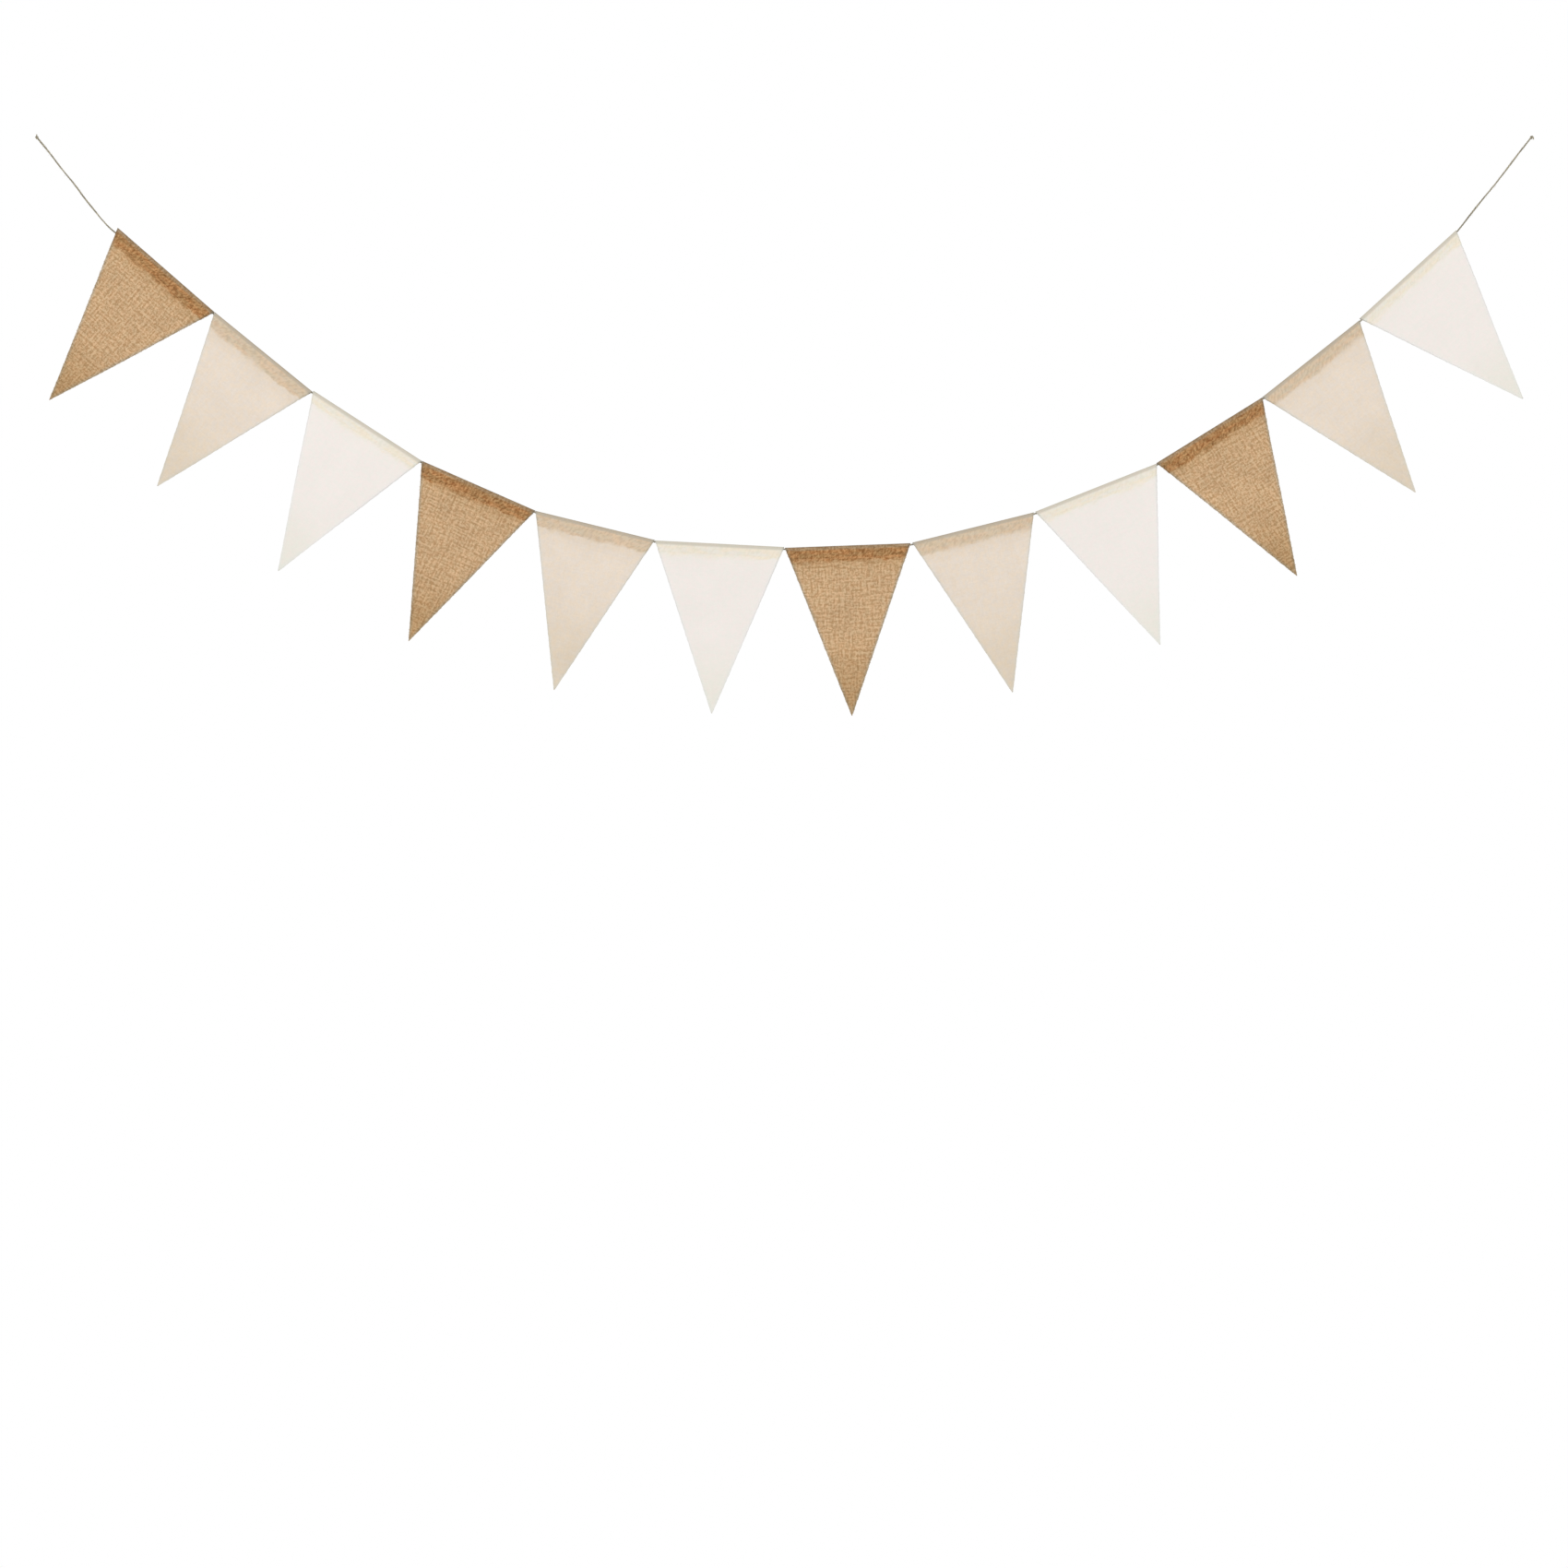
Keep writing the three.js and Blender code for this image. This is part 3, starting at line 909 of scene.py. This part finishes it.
# Looks, as linear colours. light and dark are the yarns at their palest and darkest, pore is the
# painted shade that shows between them, and warm to tip are what the colour is multiplied by in that
# place. band and band_cool are the doubled hem's painted shade, where less light comes through two
# layers, under the painted shadow below the hem, fold and ridge the painted shade along the fold and on
# its top, and tip the painted shade towards the tip. tip_widths is the pennant's width where the tip's
# painted shade is full and where it ends. slub to mottle are strengths, and relief is in metres.
Look = namedtuple(
    "Look",
    "light dark pore warm cool band band_cool speckle under fold ridge cut tip"
    " tip_widths slub streak thread rib mottle relief rough",
)
LOOKS = {
    "tan": Look(
        light=(0.702, 0.483, 0.289),
        dark=(0.426, 0.248, 0.110),
        pore=(0.566, 0.380, 0.216),
        warm=(1.02, 0.99, 0.96),
        cool=(0.985, 1.007, 1.0),
        band=(0.935, 0.745, 0.565),
        band_cool=(0.77, 0.685, 0.54),
        speckle=(0.67, 0.56, 0.42),
        under=(0.93, 0.91, 0.86),
        fold=(0.63, 0.64, 0.64),
        ridge=(0.72, 0.70, 0.66),
        cut=(0.80, 0.93, 1.10),
        tip=(0.81, 0.765, 0.665),
        tip_widths=(0.012, 0.075),
        slub=1.0,
        streak=3.2,
        thread=0.9,
        rib=1.7,
        mottle=0.13,
        relief=0.00022,
        rough=0.95,
    ),
    "beige": Look(
        light=(0.796, 0.692, 0.586),
        dark=(0.728, 0.631, 0.529),
        pore=(0.745, 0.645, 0.540),
        warm=(1.012, 0.996, 0.965),
        cool=(0.988, 1.004, 1.03),
        band=(0.938, 0.838, 0.72),
        band_cool=(0.872, 0.843, 0.75),
        speckle=(0.875, 0.86, 0.845),
        under=(0.97, 0.955, 0.93),
        fold=(0.64, 0.63, 0.575),
        ridge=(0.83, 0.80, 0.76),
        cut=(0.93, 0.99, 1.03),
        tip=(0.92, 0.905, 0.855),
        tip_widths=(0.025, 0.095),
        slub=0.8,
        streak=1.6,
        thread=0.9,
        rib=0.0,
        mottle=0.05,
        relief=0.00006,
        rough=0.92,
    ),
    "cream": Look(
        light=(0.858, 0.804, 0.764),
        dark=(0.818, 0.765, 0.723),
        pore=(0.826, 0.773, 0.731),
        warm=(1.014, 0.997, 0.997),
        cool=(0.984, 1.003, 0.992),
        band=(1.018, 0.98, 0.862),
        band_cool=(0.98, 0.99, 0.945),
        speckle=(0.955, 0.95, 0.93),
        under=(0.995, 0.995, 0.985),
        fold=(0.72, 0.71, 0.635),
        ridge=(0.92, 0.91, 0.87),
        cut=(0.97, 1.0, 1.02),
        tip=(0.945, 0.965, 0.925),
        tip_widths=(0.012, 0.075),
        slub=0.7,
        streak=0.9,
        thread=0.6,
        rib=0.0,
        mottle=0.015,
        relief=0.00005,
        rough=0.9,
    ),
}


def opaque(colour):
    """A colour with full alpha, as node sockets take it."""
    return (*colour, 1.0)


# The finish of cloth and twine. Pairs are the tone, height, noise or metres where a shade starts and
# ends, and scales are for each metre.
SPECULAR = 0.2
SHEEN = 0.15
SHEEN_ROUGHNESS = 0.6
MOTTLE_SCALE = 30.0
YARN_TONES = (-1.0, 1.0)
PORE_HEIGHTS = (0.1, 0.45)
HUE_SCALE = 160.0
BAND_SCALES = (40.0, 220.0)
TWO_COLOUR_NOISE = (0.38, 0.62)
CUT_SHADE = (0.0008, 0.0045)
FIBRE_TONES = (-0.75, 0.75)
FIBRE_RELIEF = 0.00025
FIBRE_ROUGH = 0.95


def new_material(name, rough, sheen):
    """A material with a matt, slightly bloomed surface: (material, nodes, its shader)."""
    material = bpy.data.materials.new(name)
    material.use_nodes = True
    nodes = Nodes(material.node_tree)
    shader = material.node_tree.nodes["Principled BSDF"]
    shader.inputs["Specular IOR Level"].default_value = SPECULAR
    shader.inputs["Roughness"].default_value = rough
    shader.inputs["Sheen Weight"].default_value = sheen
    shader.inputs["Sheen Roughness"].default_value = SHEEN_ROUGHNESS
    return material, nodes, shader


def join_relief(nodes, shader, height, distance):
    """A bump of that distance in metres on the shader's surface."""
    settings = {"Height": height, "Distance": distance, "Strength": 1.0}
    relief = nodes.add("ShaderNodeBump", settings)
    nodes.join(relief.outputs[0], shader.inputs["Normal"])


def cloth_material(kind):
    """Woven cloth with painted shade on its doubled hem, below it, along its fold, between its yarns and
    towards its tip, and a tint along its cuts.
    """
    look = LOOKS[kind]
    cloth = CLOTHS[kind]
    material, nodes, shader = new_material(kind + " cloth", look.rough, SHEEN)
    flat = nodes.add("ShaderNodeUVMap", uv_map="cloth").outputs[0]
    cuts = nodes.add("ShaderNodeUVMap", uv_map="cuts").outputs[0]
    yarns = {
        "Cloth": flat,
        "Pitch": cloth.yarn,
        "Slub": look.slub,
        "Streak": look.streak,
        "Thread": look.thread,
        "Rib": look.rib,
    }
    weave = nodes.group(WOVEN_YARNS, yarns)
    hem = nodes.group(DOUBLED_HEM, {"Cloth": flat, "Depth": bend_length(cloth) + cloth.hem})
    mottle = nodes.group(CLOTH_MOTTLE, {"Cloth": flat, "Scale": MOTTLE_SCALE})

    shade = nodes.between(weave["Tone"], *YARN_TONES)
    colour = nodes.blend(shade, opaque(look.dark), opaque(look.light))
    # Painted shade in the gaps between the yarns, where the weave is low
    pore = nodes.between(weave["Height"], *PORE_HEIGHTS, 1.0, 0.0)
    colour = nodes.blend(pore, colour, opaque(look.pore))
    hue = nodes.between(nodes.noise(flat, HUE_SCALE, detail=3.0), *TWO_COLOUR_NOISE)
    tint = nodes.blend(hue, opaque(look.warm), opaque(look.cool))
    colour = nodes.tinted(1.0, colour, tint)
    # The colour with the fold's painted shade, laid on along the fold further down
    fold_shaded = nodes.tinted(1.0, colour, opaque(look.fold))

    # Painted shadow below the hem, where its bulge shades the cloth
    colour = nodes.tinted(hem["Under"], colour, opaque(look.under))
    # Painted shade of the doubled hem, where less light comes through two layers, in streaks along it
    u, v, _ = nodes.split(flat)
    streaky = nodes.stretched(u, v, *BAND_SCALES)
    cooler = nodes.between(nodes.noise(streaky, 1.0, detail=3.0), *TWO_COLOUR_NOISE)
    band = nodes.blend(cooler, opaque(look.band), opaque(look.band_cool))
    colour = nodes.tinted(hem["Band"], colour, band)
    colour = nodes.tinted(hem["Speckle"], colour, opaque(look.speckle))
    # Painted shade along the fold, where it turns away and the twine shows through, then on its top
    colour = nodes.blend(hem["Fold"], colour, fold_shaded)
    colour = nodes.tinted(hem["Ridge"], colour, opaque(look.ridge))

    left, right, _ = nodes.split(cuts)
    nearest = nodes.math("MINIMUM", left, right)
    cut = nodes.between(nearest, *CUT_SHADE, 1.0, 0.0)
    colour = nodes.tinted(cut, colour, opaque(look.cut))
    # Painted shade that darkens the cloth towards the tip
    tip = nodes.between(nodes.plus(left, right), *look.tip_widths, 1.0, 0.0)
    colour = nodes.tinted(tip, colour, opaque(look.tip))
    uneven = nodes.plus(1.0, nodes.times(mottle["Value"], look.mottle))
    colour = nodes.tinted(1.0, colour, nodes.vector(uneven, uneven, uneven))
    nodes.join(colour, shader.inputs["Base Color"])
    join_relief(nodes, shader, weave["Height"], look.relief)
    return material


def strand_material(name, light, dark, lay):
    """Spun fibre: pale and dark hairs that wind along a strand."""
    material, nodes, shader = new_material(name, FIBRE_ROUGH, SHEEN)
    strand = nodes.add("ShaderNodeUVMap", uv_map="strand").outputs[0]
    fibre = nodes.group(SPUN_FIBRE, {"Strand": strand, "Lay": lay})
    shade = nodes.between(fibre["Tone"], *FIBRE_TONES)
    nodes.join(nodes.blend(shade, opaque(dark), opaque(light)), shader.inputs["Base Color"])
    join_relief(nodes, shader, fibre["Height"], FIBRE_RELIEF)
    return material


# The pieces, cords first


JUTE_LIGHT = (0.50, 0.45, 0.33)
JUTE_DARK = (0.20, 0.175, 0.12)
# Lengths of one turn of the spin in each strand
JUTE_LAY = 0.004
YARN_LAY = 0.002
THREAD_LAY = 0.001
# The sewing thread against the colour of the hem's band with its painted shade, at its palest and darkest
THREAD_LIGHT = 1.04
THREAD_DARK = 0.9
YARN_RADIUS_SHARE = 0.22
THIN_STRAND_SIDES = 5
# Which way is down at each knot, before it is turned square to the twine
DOWN_LEFT = np.array([-0.6, 0, -1.0])
DOWN_RIGHT = np.array([0.6, 0, -1.0])


def bunting_piece(name, mesh, material, slot, *nodes):
    """A finished piece on the part's body, in its material, with the nodes it stands for hidden. slot is
    not used.
    """
    piece = collect(name, mesh, material)
    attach(piece, "root")
    if nodes:
        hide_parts(*nodes)
    return piece


def tie_knot(side, jute, *place):
    """An overhand knot of the twine. place is its centre, the twine's exit, down, and its cut end."""
    mesh = knot_mesh(side + "_knot_strand", *place)
    return bunting_piece(side + "_overhand_knot", mesh, jute, "jute_twine", "knot_" + side)


def string_twine():
    """The twine with its two knots and its loose hairs."""
    jute = strand_material("jute twine", JUTE_LIGHT, JUTE_DARK, JUTE_LAY)
    twine = bunting_piece("twine_strands", twine_mesh(), jute, "jute_twine", "twine")
    left_knot = tie_knot("left", jute, ROUTE[0], LEFT_EXIT, DOWN_LEFT, LEFT_END)
    right_knot = tie_knot("right", jute, ROUTE[-1], RIGHT_EXIT, DOWN_RIGHT, RIGHT_END)
    hairs = bunting_piece("twine_hairs", hair_mesh(), jute, "jute_twine")


def hang_pennant(number, pennant, material):
    """One pennant, which hangs on the twine."""
    piece = bunting_piece(
        "cloth_pennant_%d" % number,
        pennant_mesh(pennant),
        material,
        pennant.cloth + "_cloth",
        "pennant_%d" % number,
    )


def sew_cloth(kind):
    """All the pennants of one cloth, and their yarn ends and their stitches as one piece each."""
    cloth = CLOTHS[kind]
    look = LOOKS[kind]
    material = cloth_material(kind)
    yarn_material = strand_material(kind + " yarn", look.light, look.dark, YARN_LAY)
    # The palest yarn under the hem band's painted shade, which the thread follows
    band_light = np.multiply(look.light, look.band)
    thread_material = strand_material(
        kind + " thread",
        tuple(band_light * THREAD_LIGHT),
        tuple(band_light * THREAD_DARK),
        THREAD_LAY,
    )
    luck = np.random.default_rng(cloth.seed)
    yarns = []
    stitches = []
    for number, pennant in enumerate(PENNANTS, 1):
        if pennant.cloth == kind:
            hang_pennant(number, pennant, material)
            yarns.append(cut_yarns(pennant, luck))
            stitches.append(stitch_lines(pennant, luck))
    yarn_radii = YARN_RADIUS_SHARE * cloth.yarn * np.array([YARN_TAPER])
    bunting_piece(
        kind + "_yarn_ends",
        strands_mesh("yarn_end", np.concatenate(yarns), yarn_radii, THIN_STRAND_SIDES),
        yarn_material,
        kind + "_cloth",
    )
    bunting_piece(
        kind + "_hem_stitches",
        strands_mesh("hem_stitch", np.concatenate(stitches), STITCH_RADIUS, THIN_STRAND_SIDES),
        thread_material,
        kind + "_cloth",
    )


string_twine()
for kind in CLOTHS:
    sew_cloth(kind)


# Room


def paint_world(seen, given):
    """White all round: one strength where the camera sees it and another as light on the cloth."""
    world = bpy.data.worlds.new("white room")
    world.use_nodes = True
    bpy.context.scene.world = world
    nodes = Nodes(world.node_tree)
    background = world.node_tree.nodes["Background"]
    background.inputs["Color"].default_value = (1, 1, 1, 1)
    straight = nodes.add("ShaderNodeLightPath").outputs["Is Camera Ray"]
    strength = nodes.plus(nodes.times(straight, seen - given), given)
    nodes.join(strength, background.inputs["Strength"])


def soft_light(name, power, size, place, target):
    """A square lamp that faces its target."""
    lamp = bpy.data.lights.new(name, "AREA")
    lamp.energy = power
    lamp.shape = "SQUARE"
    lamp.size = size
    light = bpy.data.objects.new(name, lamp)
    light.location = place
    away = np.subtract(place, target)
    distance = math.hypot(*away)
    light.rotation_euler = (math.acos(away[2] / distance), 0, math.atan2(away[0], -away[1]))
    bpy.context.scene.collection.objects.link(light)


# The floor's height, its ends in x and y, and its fade, by the distance from its middle
FLOOR_HEIGHT = -2.4
FLOOR_X = (-3.0, 4.8)
FLOOR_Y = (-3.9, 3.9)
FLOOR_MIDDLE = 0.9
FLOOR_FADE = (1.0, 3.6)
FLOOR_GREY = (0.9, 0.9, 0.9)
FLOOR_PALE = (0.93, 0.93, 0.93)
FLOOR_ROUGH = 0.8
PATCH_SCALE = 1.5
PATCH_NOISE = (0.3, 0.7)


def lay_floor():
    """A pale flat floor well below the string, which thins out to nothing before its edges."""
    left, right = FLOOR_X
    near, far = FLOOR_Y
    corners = [(left, near), (right, near), (right, far), (left, far)]
    points = np.array([(x, y, FLOOR_HEIGHT) for x, y in corners])
    mesh = make_mesh("floor_sheet", points, [np.array([[0, 1, 2, 3]])], [False], {})
    material, nodes, shader = new_material("pale floor", FLOOR_ROUGH, 0.0)
    place = nodes.add("ShaderNodeTexCoord").outputs["Object"]
    patch = nodes.between(nodes.noise(place, PATCH_SCALE), *PATCH_NOISE)
    colour = nodes.blend(patch, opaque(FLOOR_GREY), opaque(FLOOR_PALE))
    nodes.join(colour, shader.inputs["Base Color"])
    x, y, _ = nodes.split(place)
    from_middle = nodes.vector(nodes.minus(x, FLOOR_MIDDLE), y)
    away = nodes.add("ShaderNodeVectorMath", {0: from_middle}, operation="LENGTH").outputs["Value"]
    nodes.join(nodes.between(away, *FLOOR_FADE, 1.0, 0.0), shader.inputs["Alpha"])
    collect("floor", mesh, material)


MIDDLE = (0.883, 0.0, -0.35)
paint_world(seen=1.0, given=0.75)
soft_light("key_light", power=59, size=2.5, place=(-1.0, -3.5, 1.8), target=MIDDLE)
soft_light("fill_light", power=20, size=2.5, place=(3.2, -3.0, 0.2), target=MIDDLE)
soft_light("back_light", power=30, size=2.0, place=(0.9, 3.5, 1.5), target=MIDDLE)
lay_floor()
bpy.context.scene.view_settings.view_transform = "Standard"
